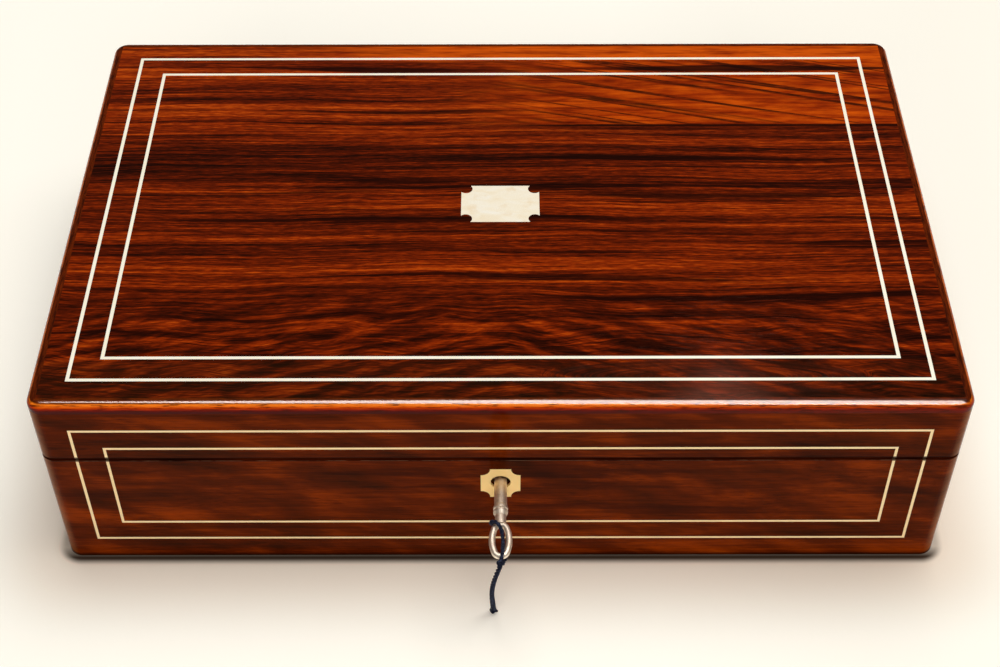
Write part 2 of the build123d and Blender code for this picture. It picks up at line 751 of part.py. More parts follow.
# ---- Inkwells ---------------------------------------------------------------------------------------------------
cell_middle_y = (front_inner_face + divider_front) / 2
bottle_size = min(cell_length, tray_compartment) - 2 * bottle_clearance


def bottle(x):
    """A square glass bottle with a round neck, hollow."""
    body = extrude(RectangleRounded(bottle_size, bottle_size, bottle_corner_radius), bottle_height)
    body = chamfer(body.edges().group_by(Axis.Z)[-1], bottle_shoulder)
    total = bottle_height + bottle_neck_height
    body += Pos(0, 0, bottle_height + bottle_neck_height / 2) * Cylinder(bottle_neck_radius, bottle_neck_height)
    side = bottle_size - 2 * bottle_wall
    depth = bottle_height - bottle_wall - bottle_shoulder
    inside = Pos(0, 0, bottle_wall + depth / 2) * Box(side, side, depth)
    bore = Pos(0, 0, bottle_wall + (total - bottle_wall) / 2) * Cylinder(bottle_bore_radius, total - bottle_wall)
    return Pos(x, cell_middle_y, bottom_thickness) * (body - inside - bore)


def bottle_cap(x):
    """A turned brass cap that slips over the neck, with a low dome."""
    seat = bottom_thickness + bottle_height + cap_lift
    skirt = Pos(0, 0, cap_height / 2) * Cylinder(cap_radius, cap_height)
    dome_radius = (cap_radius**2 + cap_dome**2) / (2 * cap_dome)
    dome = Pos(0, 0, cap_height + cap_dome - dome_radius) * Sphere(dome_radius)
    dome &= Pos(0, 0, cap_height + cap_dome / 2) * Cylinder(cap_radius, cap_dome)
    neck_room = bottle_neck_height - cap_lift + cap_clearance
    room = Pos(0, 0, neck_room / 2) * Cylinder(bottle_neck_radius + cap_clearance, neck_room)
    cap = skirt + dome - room
    ring = Pos(0, 0, cap_height * 0.5) * (Cylinder(cap_radius + 1, 0.8) - Cylinder(cap_radius - 0.5, 0.8))
    return Pos(x, cell_middle_y, seat) * (cap - ring)


cell_middles = {
    "left": -(inner_length - cell_length) / 2,
    "right": (inner_length - cell_length) / 2,
}


# ---- Key -----------------------------------------------------------------------------------------------------------
def out(u, x=0.0, z=0.0):
    """A point u outwards from the front face, x to the right and z above the key's axis."""
    return Vector(x, front_face - u, key_height + z)


def oval_wire():
    """The middle line of the bow's wire: two tight end arcs and two long side arcs, all tangent."""
    a = (key_bow_length - key_bow_wire) / 2
    b = (key_bow_width - key_bow_wire) / 2
    r = key_bow_end_radius
    long_radius = ((a - r) ** 2 + b**2 - r**2) / (2 * (b - r))
    turn = atan2(a - r, long_radius - b)
    meet_u = (a - r) + r * sin(turn)
    meet_x = r * cos(turn)
    middle = key_bow_start + key_bow_length / 2
    corners = {(su, sx): out(middle + su * meet_u, sx * meet_x) for su in (-1, 1) for sx in (-1, 1)}
    return Wire(
        [
            ThreePointArc(corners[1, -1], out(middle + a), corners[1, 1]).edge(),
            ThreePointArc(corners[1, 1], out(middle, b), corners[-1, 1]).edge(),
            ThreePointArc(corners[-1, 1], out(middle - a), corners[-1, -1]).edge(),
            ThreePointArc(corners[-1, -1], out(middle, -b), corners[1, -1]).edge(),
        ]
    )


def key_stem():
    """The turned part of the key: pipe, collar of two rings and a slimmer neck."""
    inner_end = -(lock_plate_face - bolt_side_clearance - front_face)
    ring = (key_neck_start - key_collar_start) / 4
    r, c = key_shank_radius, key_collar_radius
    profile = [
        (0, inner_end), (r, inner_end), (r, key_collar_start - ring), (c, key_collar_start),
        (c, key_collar_start + 1.4 * ring), (r, key_collar_start + 1.8 * ring), (c, key_collar_start + 2.2 * ring),
        (c, key_collar_start + 3.2 * ring), (key_neck_radius, key_neck_start + ring),
        (key_neck_radius, key_bow_start + key_bow_wire / 2), (0, key_bow_start + key_bow_wire / 2),
    ]
    face = make_face(Polyline(*[(radius, u) for radius, u in profile], close=True))
    stem = revolve(face, Axis.Y)
    return Pos(0, front_face, key_height) * Rot(0, 0, 180) * stem


def key():
    wire = oval_wire()
    start = wire @ 0
    section = Plane(origin=start, z_dir=wire % 0) * Circle(key_bow_wire / 2)
    bow = sweep(section, path=wire)
    inner = lock_plate_face - bolt_side_clearance
    bit = block(
        (-key_bit_reach, 0),
        (cap_inside + bolt_side_clearance, inner),
        (key_height - key_bit_thickness / 2, key_height + key_bit_thickness / 2),
    )
    ward = block(
        (-key_bit_reach - 1, -key_bit_reach + 1.2),
        (lock_middle_y - 0.4, lock_middle_y + 0.4),
        (0, case_height),
    )
    bore = y_rod(key_bore_radius, (front_face + escutcheon_depth - key_bore_end, front_inner_face))
    return key_stem() + bow + (bit - ward) - bore


# ---- Cord ----------------------------------------------------------------------------------------------------------
def cord_tube(points, diameter):
    """A round tube along straight runs joined by tangent arcs, each as large as its two runs allow."""
    corners = [out(u, x, z) for x, u, z in points]
    runs = [b - a for a, b in zip(corners, corners[1:])]
    radii = []
    for before, after in zip(runs, runs[1:]):
        turn = radians(before.get_angle(after))
        radii.append(0.45 * min(before.length, after.length) / tan(turn / 2))
    path = FilletPolyline(*corners, radius=radii)
    section = Plane(origin=corners[0], z_dir=runs[0]) * Circle(diameter / 2)
    tube = sweep(section, path=path)
    ideal = pi * diameter**2 / 4 * path.length
    print("cord length", round(path.length, 1), "radii", [round(r, 1) for r in radii])
    print("cord volume", round(tube.volume, 2), "of", round(ideal, 2))
    return tube


def knot_ball(point, radius):
    x, u, z = point
    return Pos(*out(u, x, z)) * Sphere(radius)


knot_place = (0.0, key_bow_start + key_bow_length + knot_gap + knot_radius, 0.0)
end_knot_place = (tail_points[-1][0], tail_points[-1][1], tail_points[-1][2] - end_knot_radius * 0.6)


# ---- Write the nodes --------------------------------------------------------------------------------------------------
def main():
    os.makedirs("parts", exist_ok=True)
    for side in ("front", "back", "left", "right"):
        write(f"base_{side}_wall", base_walls[side])
        write(f"lid_{side}_wall", lid_walls[side])
    write("base_bottom_panel", bottom_panel)
    write("lid_top_panel", top_panel)
    write("lid_edge_banding", *banding)
    write("base_front_lines", *halves(front_all_lines, below_cut))
    write("lid_front_lines", *halves(front_all_lines, above_cut))
    write("top_outer_lines", *top_outer_lines)
    write("top_inner_lines", *top_inner_lines)
    write("name_plaque", plaque)
    write("escutcheon", escutcheon_blank - keyhole)

    write("lock_plate", lock_plate())
    write("lock_cap", lock_cap())
    write("lock_drill_pin", drill_pin)
    write("lock_spring", lock_spring())
    write("lock_screws", *[place * screw() for place in lock_screw_places])
    write("lock_bolt", lock_bolt())
    write("link_plate", link_plate())
    write("link_plate_screws", *[place * screw() for place in link_screw_places])

    for side, x in hinge_middles.items():
        write(f"hinge_base_leaf_{side}", main_hinge_leaf(x, (0, 2, 4)))
        write(f"hinge_lid_leaf_{side}", mirrored_in_cut(main_hinge_leaf(x, (1, 3))))
    pins = [x_rod(hinge_pin_radius, (x - hinge_length / 2, x + hinge_length / 2)) for x in hinge_middles.values()]
    write("hinge_pins", *pins)
    screw_places = [place for x in hinge_middles.values() for place in hinge_screw_places(x)]
    write("hinge_base_screws", *[place * screw() for place in screw_places])
    write("hinge_lid_screws", *[mirrored_in_cut(place * screw()) for place in screw_places])

    write("base_flap_board", base_flap)
    write("base_flap_leather", flap_leather(base_flap_front))
    write("lid_flap_board", mirrored_in_cut(lid_flap_blank))
    write("lid_flap_leather", mirrored_in_cut(flap_leather(lid_flap_front)))
    write("base_flap_hinge_wall_leaves", *[flap_hinge_leaf(x, 1, (0, 2)) for x in flap_hinge_middles])
    write("base_flap_hinge_flap_leaves", *[flap_hinge_leaf(x, -1, (1,)) for x in flap_hinge_middles])
    write("lid_flap_hinge_wall_leaves", *[mirrored_in_cut(flap_hinge_leaf(x, 1, (0, 2))) for x in flap_hinge_middles])
    write("lid_flap_hinge_flap_leaves", *[mirrored_in_cut(flap_hinge_leaf(x, -1, (1,))) for x in flap_hinge_middles])
    half = flap_hinge_length / 2
    flap_pins = [x_rod(flap_pin_radius, (x - half, x + half), flap_axis) for x in flap_hinge_middles]
    write("base_flap_hinge_pins", *flap_pins)
    write("lid_flap_hinge_pins", *[mirrored_in_cut(pin) for pin in flap_pins])
    write("lid_flap_catches", *[mirrored_in_cut(catch) for catch in catches])
    write("lid_flap_strikes", *[mirrored_in_cut(strike) for strike in strikes])
    write("base_flap_ledges", *side_ledges(base_cavity))
    write("lid_flap_ledges", *[mirrored_in_cut(ledge) for ledge in lid_ledges])

    write("tray_divider", divider())
    write("inkwell_partitions", partition(-1), partition(1))
    write("pen_tray", pen_tray())
    write("tray_bearers", *bearers())
    for side, x in cell_middles.items():
        write(f"inkwell_bottle_{side}", bottle(x))
        write(f"inkwell_cap_{side}", bottle_cap(x))

    write("key", key())
    write("key_cord_loop", cord_tube(loop_points, loop_diameter))
    write("key_cord_knot", knot_ball(knot_place, knot_radius))
    write("key_cord_tail", cord_tube(tail_points, tail_diameter))
    write("key_cord_end", knot_ball(end_knot_place, end_knot_radius))


main()
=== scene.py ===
from math import cos, pi, radians, sin, sqrt

import bpy
from mathutils import Matrix, Vector


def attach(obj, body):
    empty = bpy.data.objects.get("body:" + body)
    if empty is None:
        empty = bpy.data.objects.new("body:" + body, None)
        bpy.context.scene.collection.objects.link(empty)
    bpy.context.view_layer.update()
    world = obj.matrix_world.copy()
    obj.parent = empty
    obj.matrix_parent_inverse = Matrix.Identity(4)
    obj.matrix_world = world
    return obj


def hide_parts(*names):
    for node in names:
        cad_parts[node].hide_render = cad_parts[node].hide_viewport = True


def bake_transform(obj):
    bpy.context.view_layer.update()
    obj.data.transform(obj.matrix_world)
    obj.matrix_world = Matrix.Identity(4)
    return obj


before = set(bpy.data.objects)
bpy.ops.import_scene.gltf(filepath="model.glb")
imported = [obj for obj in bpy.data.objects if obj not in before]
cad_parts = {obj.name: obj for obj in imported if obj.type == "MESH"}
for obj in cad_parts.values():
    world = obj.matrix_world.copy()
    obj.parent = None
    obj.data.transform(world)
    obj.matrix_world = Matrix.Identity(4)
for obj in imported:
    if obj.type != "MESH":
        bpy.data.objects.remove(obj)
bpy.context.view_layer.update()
mm = 0.001

# ---- The case's own sizes, in metres, in the part's frame ----------------------------------------
front_y = -111 * mm
key_z = 47 * mm
hinge_y = 112 * mm
hinge_z = 46 * mm
front_joint_z = 61.17 * mm
half_length = 176.25 * mm
slope_tan = (front_joint_z - hinge_z) / (hinge_y - front_y)
# The same for the shaders, which count in millimetres.
end_x, side_y, corner_radius = half_length / mm, -front_y / mm, 6.0
seam_y = 51.2            # where the paler rear board of the top begins


# ---- Shader helpers ------------------------------------------------------------------------------
class Shade:
    """A material that is written as a formula: each call adds one node and returns its output."""

    def __init__(self, name):
        self.material = bpy.data.materials.new(name)
        self.material.use_nodes = True
        self.tree = self.material.node_tree
        self.tree.nodes.clear()
        self.shader = self.tree.nodes.new("ShaderNodeBsdfPrincipled")
        output = self.tree.nodes.new("ShaderNodeOutputMaterial")
        self.tree.links.new(self.shader.outputs[0], output.inputs[0])
        # The place on the object in millimetres, and whether the face there stands upright.
        coordinates = self.tree.nodes.new("ShaderNodeTexCoord")
        scaled = self.vector("SCALE", coordinates.outputs["Object"])
        scaled.node.inputs["Scale"].default_value = 1 / mm
        parts = self.tree.nodes.new("ShaderNodeSeparateXYZ")
        self.tree.links.new(scaled, parts.inputs[0])
        self.point = scaled
        self.x, self.y, self.z = parts.outputs
        facing = self.tree.nodes.new("ShaderNodeSeparateXYZ")
        self.tree.links.new(coordinates.outputs["Normal"], facing.inputs[0])
        self.upright = self.span(self.math("ABSOLUTE", facing.outputs[2]), 0.5, 0.3)

    def put(self, socket, value):
        """Links an output to the socket, or writes a number or a colour on it."""
        if isinstance(value, bpy.types.NodeSocket):
            self.tree.links.new(value, socket)
        elif socket.type == "RGBA" and len(value) == 3:
            socket.default_value = (*value, 1)
        else:
            socket.default_value = value

    def set(self, **values):
        """Sets the shader's own sockets: numbers stay on the socket, outputs are linked."""
        for name, value in values.items():
            self.put(self.shader.inputs[name.replace("_", " ")], value)

    def math(self, operation, *values):
        node = self.tree.nodes.new("ShaderNodeMath")
        node.operation = operation
        for socket, value in zip(node.inputs, values):
            self.put(socket, value)
        return node.outputs[0]

    def add(self, *values):
        total = values[0]
        for value in values[1:]:
            total = self.math("ADD", total, value)
        return total

    def times(self, *values):
        total = values[0]
        for value in values[1:]:
            total = self.math("MULTIPLY", total, value)
        return total

    def less(self, value, taken):
        return self.math("SUBTRACT", value, taken)

    def gap(self, value, other):
        """How far apart two values are."""
        return self.math("ABSOLUTE", self.less(value, other))

    def vector(self, operation, *values):
        node = self.tree.nodes.new("ShaderNodeVectorMath")
        node.operation = operation
        for socket, value in zip(node.inputs, values):
            self.put(socket, value)
        return node.outputs[0]

    def combine(self, x, y, z):
        node = self.tree.nodes.new("ShaderNodeCombineXYZ")
        for socket, value in zip(node.inputs, (x, y, z)):
            self.put(socket, value)
        return node.outputs[0]

    def noise(self, vector, scale=1.0, detail=2.0, roughness=0.5, distortion=0.0):
        node = self.tree.nodes.new("ShaderNodeTexNoise")
        self.put(node.inputs["Vector"], vector)
        for name, value in (
            ("Scale", scale), ("Detail", detail), ("Roughness", roughness), ("Distortion", distortion)
        ):
            node.inputs[name].default_value = value
        return node.outputs["Fac"]

    def voronoi(self, vector, scale):
        """Distance to the nearest of many scattered points."""
        node = self.tree.nodes.new("ShaderNodeTexVoronoi")
        self.put(node.inputs["Vector"], vector)
        node.inputs["Scale"].default_value = scale
        return node.outputs["Distance"]

    def span(self, value, low, high, to_low=0.0, to_high=1.0, smooth=False):
        """Maps low..high onto to_low..to_high, held at both ends."""
        node = self.tree.nodes.new("ShaderNodeMapRange")
        node.interpolation_type = "SMOOTHSTEP" if smooth else "LINEAR"
        for socket, number in zip(node.inputs, (value, low, high, to_low, to_high)):
            self.put(socket, number)
        return node.outputs[0]

    def ramp(self, value, *stops):
        node = self.tree.nodes.new("ShaderNodeValToRGB")
        elements = node.color_ramp.elements
        while len(elements) < len(stops):
            elements.new(0.5)
        for element, (position, color) in zip(elements, stops):
            element.position = position
            element.color = (*color, 1)
        self.put(node.inputs[0], value)
        return node.outputs[0]

    def mix(self, factor, a, b):
        """Colour a, going over to colour b as the factor goes from 0 to 1."""
        node = self.tree.nodes.new("ShaderNodeMix")
        node.data_type = "RGBA"
        for socket, value in zip(node.inputs[:1] + node.inputs[6:8], (factor, a, b)):
            self.put(socket, value)
        return node.outputs[2]

    def mix_value(self, factor, a, b):
        """The same for plain numbers."""
        node = self.tree.nodes.new("ShaderNodeMix")
        for socket, value in zip(node.inputs[:1] + node.inputs[2:4], (factor, a, b)):
            self.put(socket, value)
        return node.outputs[0]

    def bump(self, height, strength, distance=0.1 * mm):
        node = self.tree.nodes.new("ShaderNodeBump")
        node.inputs["Strength"].default_value = strength
        node.inputs["Distance"].default_value = distance
        self.put(node.inputs["Height"], height)
        self.put(self.shader.inputs["Normal"], node.outputs[0])


# ---- Woods ---------------------------------------------------------------------------------------
def grain_field(s, grain, seed, wander):
    """Coordinates stretched along the grain, pushed sideways by slow waves of wander mm."""
    along, across, deep = {"x": (s.x, s.y, s.z), "y": (s.y, s.x, s.z)}[grain]
    board_spacing = 31.7     # boards with other seeds are cut from other places in the log
    across = s.add(across, seed * board_spacing)
    slow = streaks(s, along, across, deep, 0.006, 0.018, 2.0, 0.5)
    push = s.times(s.less(slow, 0.5), wander)
    return along, s.add(across, push), deep


def streaks(s, along, across, deep, long_scale, cross_scale, detail, roughness=0.55):
    """Noise drawn out along the grain: long_scale and cross_scale are its waves per millimetre."""
    place = s.combine(s.times(along, long_scale), s.times(across, cross_scale), s.times(deep, cross_scale))
    return s.noise(place, 1.0, detail, roughness)


def pores(s, along, across, deep):
    """Short dark vessels that lie along the grain."""
    return s.span(streaks(s, along, across, deep, 0.09, 3.2, 1.0, 0.5), 0.60, 0.70)


def from_cut(s):
    """Height above or below the middle of the sloping saw cut."""
    cut_z = s.add(s.times(s.y, -slope_tan), hinge_z / mm + hinge_y / mm * slope_tan)
    return s.less(s.z, cut_z)


black_wood = (0.0080, 0.0013, 0.0006)
dark_wood = (0.028, 0.0034, 0.0007)
red_wood = (0.094, 0.0078, 0.0007)
orange_wood = (0.265, 0.024, 0.0012)
light_wood = (0.52, 0.074, 0.0035)
rosewood_tones = (
    (0.0, black_wood), (0.22, dark_wood), (0.47, red_wood), (0.75, orange_wood), (1.0, light_wood)
)
# The sides are a little browner than the top.
side_tones = tuple((place, (r, g * 1.42, b * 0.6)) for place, (r, g, b) in rosewood_tones)


def polish(s, height, pore, level):
    """French polish: a deep gloss, warm from the wood under it, over slightly open pores."""
    s.set(Roughness=0.075, Specular_IOR_Level=level, Specular_Tint=(1.0, 0.16, 0.02))
    s.bump(s.add(height, s.times(pore, -0.012)), 0.22, 1.2 * mm)


def top_rosewood():
    """The show veneer of the lid: straight fine bands, flame figure in front, a paler board behind."""
    s = Shade("rosewood_top")
    # In front of y = -38 the straight bands go over into flame figure.
    flame = s.span(s.y, -38, -76, smooth=True)
    along, across, deep = grain_field(s, "x", 1.0, 10.0)
    eddy = s.noise(s.combine(s.times(s.x, 0.026), s.times(s.y, 0.05), 0.0), 1.0, 1.6, 0.5)
    across = s.add(across, s.times(s.less(eddy, 0.5), s.add(1.6, s.times(flame, 11.0))))
    # A cathedral figure: nested ovals round one point near the front edge.
    heart_x, heart_y = 76.0, -96.5
    oval_x, oval_y = s.times(s.less(s.x, heart_x), 0.13), s.less(s.y, heart_y)
    oval = s.math("SQRT", s.add(s.times(oval_x, oval_x), s.times(oval_y, oval_y)))
    near = s.times(s.span(oval, 8.5, 3.5, smooth=True), flame)
    across = s.mix_value(near, across, s.times(oval, 2.2))
    bands = streaks(s, along, across, deep, 0.0016, 0.050, 2.0)
    lines = streaks(s, along, across, deep, 0.0032, 0.30, 3.0, 0.62)
    fibres = streaks(s, along, across, deep, 0.017, 1.15, 3.0, 0.62)
    dashes = streaks(s, along, across, deep, 0.20, 2.3, 2.0, 0.6)
    # The flames' curls feather away on both sides of x = 4.
    feather = s.add(s.y, s.times(s.gap(s.x, 4.0), 0.24))
    patches = s.noise(s.combine(s.times(s.x, 0.042), s.times(feather, 0.20), 3.0), 1.0, 4.0, 0.62, 0.35)
    tone = s.add(s.times(bands, 0.28), s.times(lines, 0.30), s.times(fibres, 0.26), s.times(dashes, 0.24))
    tone = s.span(tone, 0.425, 0.66)
    flamed = s.add(s.times(s.span(patches, 0.40, 0.62), 0.66), s.times(tone, 0.56), -0.19)
    tone = s.mix_value(s.times(flame, 0.72), tone, flamed)
    # The rear board is orange on the right, with slanting veins, and begins at a dark seam.
    back = s.span(s.y, seam_y, seam_y + 0.8)
    right = s.span(s.add(s.x, s.times(patches, 60.0)), -10, 80, smooth=True)
    pale = s.times(back, right)
    rear = s.times(s.span(s.y, 93, 99, smooth=True), s.span(s.x, -130, -20, smooth=True))
    mottle = s.noise(s.combine(s.times(s.x, 0.045), s.times(s.y, 0.30), 5.0), 1.0, 4.0, 0.58)
    orange = s.math("MAXIMUM", pale, rear)
    color = s.ramp(tone, *rosewood_tones)
    amber_tone = s.add(s.span(mottle, 0.26, 0.72), s.times(s.less(tone, 0.5), 0.32), s.times(rear, 0.34))
    amber = s.ramp(
        amber_tone,
        (0.0, (0.095, 0.0055, 0.0003)), (0.42, (0.31, 0.027, 0.0005)), (1.0, (0.64, 0.090, 0.002)),
    )
    color = s.mix(s.times(orange, 0.92), color, amber)
    ink = s.span(streaks(s, along, across, deep, 0.0050, 0.20, 3.0, 0.6), 0.43, 0.35)
    color = s.mix(s.times(ink, s.less(0.85, s.times(orange, 0.7))), color, black_wood)
    slant = s.add(s.times(s.x, 0.072), s.times(s.y, 0.30))
    vein = s.noise(s.combine(s.times(s.x, 0.004), slant, 7.0), 0.42, 2.4, 0.42)
    veins = s.times(s.span(s.gap(vein, 0.5), 0.034, 0.010), pale, s.span(s.y, 97.5, 95.5))
    broken = s.span(s.add(s.times(mottle, 0.6), s.times(dashes, 0.4)), 0.41, 0.51, 0.35, 1.0)
    color = s.mix(s.times(veins, broken, 0.92), color, (0.022, 0.0026, 0.0006))
    # One long dark streak, thickest at x = 105, lies near the back edge.
    half_thickness = s.span(s.gap(s.x, 105.0), 75, 5, 0.5, 2.6)
    streak = s.span(s.less(s.gap(s.y, 90.5), half_thickness), 0.4, -0.4)
    color = s.mix(s.times(streak, s.span(s.x, 10, 60), 0.9), color, black_wood)
    beside_seam = s.span(s.y, seam_y - 9.2, seam_y - 0.2, 0.0, 0.55)
    seam = s.math("MAXIMUM", s.span(s.gap(s.y, seam_y - 0.6), 1.3, 0.6), beside_seam)
    seam = s.times(seam, s.span(s.y, seam_y + 0.4, seam_y - 0.2), s.span(s.x, -40, 30))
    color = s.mix(s.times(seam, 0.95), color, black_wood)
    # The margin along the front edge is darker; towards the right it is darkened less, as a painted
    # highlight of the polish.
    margin = s.times(s.span(s.y, -86.0, -90.0), s.span(s.x, -20.0, 90.0, 0.42, 0.30))
    color = s.mix(margin, color, (0.014, 0.007, 0.0025))
    dots = pores(s, along, across, deep)
    color = s.mix(s.times(dots, 0.5), color, black_wood)
    s.set(Base_Color=color)
    polish(s, s.noise(s.point, 0.012, 2.0), dots, 0.24)
    return s.material


def rosewood(name, grain, seed, darker=0.0):
    """Rosewood of the case's sides: darker and quieter than the top, with soft wandering bands."""
    s = Shade(name)
    along, across, deep = grain_field(s, grain, seed, 26.0)
    bands = streaks(s, along, across, deep, 0.004, 0.05, 2.0)
    lines = streaks(s, along, across, deep, 0.010, 0.22, 4.0, 0.6)
    fibres = streaks(s, along, across, deep, 0.045, 1.3, 4.0, 0.66)
    # Soft clouds of tone run aslant through the grain.
    slant = s.times(along, 0.32)
    clouds = streaks(s, along, s.add(across, slant), s.add(deep, slant, seed), 0.014, 0.08, 3.0, 0.5)
    tone = s.add(s.times(bands, 0.20), s.times(lines, 0.27), s.times(fibres, 0.21), s.times(clouds, 0.42))
    tone = s.add(tone, -0.02)
    tone = s.span(tone, 0.39, 0.72, 0.18 - darker, 0.80 - darker)
    # The lowest 14 mm are painted a little paler: painted light against the shade near the floor.
    color = s.ramp(s.add(tone, s.span(s.z, 14.0, 3.0, 0.0, 0.09)), *side_tones)
    ink = s.span(streaks(s, along, across, deep, 0.005, 0.14, 3.0, 0.5), 0.42, 0.36)
    color = s.mix(s.times(ink, 0.4), color, black_wood)
    dots = pores(s, along, across, deep)
    color = s.mix(s.times(dots, 0.4), color, black_wood)
    # Painted shade darkens the two edges along the saw cut, where the gap between lid and base is shaded.
    cut = from_cut(s)
    cut_shade = s.times(s.span(s.math("ABSOLUTE", cut), 1.3, 0.85), s.upright)
    color = s.mix(s.times(cut_shade, 0.9), color, black_wood)
    # The base's own edge there, 0.82 mm below the middle of the cut, has a painted highlight, broken in
    # places.
    arris_highlight = s.span(s.gap(cut, -0.82), 0.16, 0.06)
    highlight_patches = s.span(s.noise(s.combine(s.times(along, 0.14), 0.0, seed), 1.0, 3.0, 0.6), 0.44, 0.60)
    color = s.mix(s.times(arris_highlight, highlight_patches, s.upright, 0.8), color, (0.16, 0.085, 0.05))
    # The rounded upright corners of the case are painted paler, as a painted reflection and painted light
    # on the round.
    past_end = s.less(s.math("ABSOLUTE", s.x), end_x - corner_radius)
    past_side = s.less(s.math("ABSOLUTE", s.y), side_y - corner_radius)
    wear_and_sheen = s.times(s.span(past_end, 1.2, 5.2), s.span(past_side, -3.0, 1.0), s.upright)
    uneven = s.noise(s.combine(0.0, 0.0, s.times(s.z, 0.16)), 1.0, 3.0, 0.6)
    wear_and_sheen = s.times(wear_and_sheen, s.span(uneven, 0.36, 0.62, 0.45, 1.0))
    color = s.mix(wear_and_sheen, color, (0.29, 0.100, 0.026))
    # Painted contact shade darkens the lowest 2 mm, along the foot.
    foot_shade = s.span(s.z, 2.2, 0.4, 0.0, 0.8)
    color = s.mix(foot_shade, color, (0.010, 0.003, 0.0005))
    s.set(Base_Color=color)
    polish(s, s.noise(s.point, 0.014, 2.0), dots, 0.035)
    return s.material


def edge_banding():
    """Solid strips round the top: paler orange wood with short dark flecks, painted bright on the round as
    painted light.
    """
    s = Shade("rosewood_edge")
    in_x = s.less(end_x, s.math("ABSOLUTE", s.x))
    in_y = s.less(side_y, s.math("ABSOLUTE", s.y))
    ends = s.math("LESS_THAN", in_x, in_y)
    along = s.mix_value(ends, s.x, s.y)
    depth = s.add(s.math("MINIMUM", in_x, in_y), s.times(s.z, 1.3))
    fleck = s.noise(s.combine(s.times(along, 0.12), s.times(depth, 0.8), 0.0), 1.0, 4.0, 0.65)
    tone = s.span(fleck, 0.36, 0.64)
    # Painted light and shade: the strips are painted bright orange high on the round, where the light
    # falls, and dark on the lower edge, which turns into shade.
    height = s.add(s.span(s.z, 88.4, 91.4), s.times(s.less(tone, 0.5), 0.16))
    color = s.ramp(
        height, (0.0, (0.060, 0.0014, 0.0001)), (0.18, (0.085, 0.0014, 0.0001)),
        (0.36, (0.16, 0.005, 0.0003)), (0.49, (0.31, 0.018, 0.0006)), (0.60, (0.44, 0.034, 0.0008)),
        (0.74, (0.62, 0.080, 0.002)), (0.95, (0.85, 0.19, 0.010)),
    )
    # Towards the right and at both ends the strips are darker and more mottled.
    mottled = s.math("MAXIMUM", s.span(s.x, 15.0, 110.0), ends)
    color = s.mix(s.times(mottled, 0.42), color, (0.20, 0.012, 0.001))
    dark = s.span(s.add(fleck, s.times(mottled, -0.05)), 0.46, 0.37, 0.0, 0.80)
    color = s.mix(dark, color, (0.045, 0.005, 0.0006))
    # The flat of the strips, just under the top's face at z = 92, is as red as the top.
    veneer = s.span(s.z, 91.35, 91.65)
    color = s.mix(s.times(veneer, 0.94), color, s.mix(tone, dark_wood, red_wood))
    s.set(Base_Color=color, Roughness=0.13, Specular_IOR_Level=0.075, Specular_Tint=(1.0, 0.86, 0.82))
    s.bump(fleck, 0.03)
    return s.material


def mahogany(name, grain, seed, gloss=0.38):
    """Plain reddish mahogany of the inner fittings, with fine pores and a soft ribbon stripe."""
    s = Shade(name)
    along, across, deep = grain_field(s, grain, seed, 12.0)
    stripe = streaks(s, along, across, deep, 0.004, 0.10, 2.0)
    fibre = streaks(s, along, across, deep, 0.02, 1.1, 3.0, 0.6)
    tone = s.span(s.add(s.times(stripe, 0.55), s.times(fibre, 0.45)), 0.34, 0.68)
    color = s.ramp(
        tone, (0.0, (0.075, 0.018, 0.008)), (0.5, (0.17, 0.045, 0.017)), (1.0, (0.30, 0.09, 0.034))
    )
    dots = pores(s, along, across, deep)
    color = s.mix(s.times(dots, 0.5), color, (0.03, 0.008, 0.004))
    s.set(Base_Color=color, Roughness=s.span(fibre, 0.3, 0.7, gloss, gloss + 0.14))
    s.set(Coat_Weight=0.25, Coat_Roughness=0.22)
    s.bump(s.add(s.times(fibre, 0.4), s.times(dots, -1.0)), 0.25)
    return s.material


# ---- Inlay, metal, glass, leather ----------------------------------------------------------------
def bone(name, color, spread):
    """Bone with fine dark canals; spread is how much of it has warmed with age."""
    s = Shade(name)
    cloud = s.noise(s.point, 0.06, 3.0)
    haversian = s.noise(s.combine(s.times(s.x, 0.35), s.times(s.y, 3.0), s.times(s.z, 3.0)), 1.0, 2.0)
    warm = tuple(c * k for c, k in zip(color, (0.93, 0.86, 0.72)))
    shade = s.mix(s.span(cloud, 0.42, 0.66, 0.0, spread), color, warm)
    shade = s.mix(s.span(haversian, 0.62, 0.74, 0.0, 0.35), shade, tuple(c * 0.72 for c in color))
    # Painted shade darkens the lines' ends at the saw cut, where the gap is shaded.
    gap_shade = s.times(s.span(s.math("ABSOLUTE", from_cut(s)), 1.5, 1.15), 0.9)
    shade = s.mix(gap_shade, shade, (0.045, 0.018, 0.007))
    s.set(Base_Color=shade, Roughness=0.3, Specular_IOR_Level=0.3)
    s.set(Subsurface_Weight=0.12, Subsurface_Scale=0.6 * mm, Subsurface_Radius=(1.0, 0.7, 0.4))
    s.bump(haversian, 0.08)
    return s.material


def plaque_shell():
    """Blank plaque: cream shell with a few soft warm marks."""
    s = Shade("plaque_shell")
    waves = s.noise(s.combine(s.times(s.x, 0.09), s.times(s.y, 0.22), 2.0), 1.0, 3.0, 0.55, 0.6)
    cloud = s.noise(s.point, 0.13, 3.0, 0.6)
    color = s.ramp(
        s.span(waves, 0.3, 0.7),
        (0.0, (0.94, 0.82, 0.61)), (0.45, (0.97, 0.88, 0.70)), (1.0, (0.98, 0.93, 0.81)),
    )
    color = s.mix(s.span(cloud, 0.56, 0.76, 0.0, 0.55), color, (0.84, 0.60, 0.33))
    s.set(Base_Color=color, Roughness=0.26, Coat_Weight=0.9, Coat_Roughness=0.05)
    s.set(Sheen_Weight=0.08)
    s.bump(waves, 0.06)
    return s.material


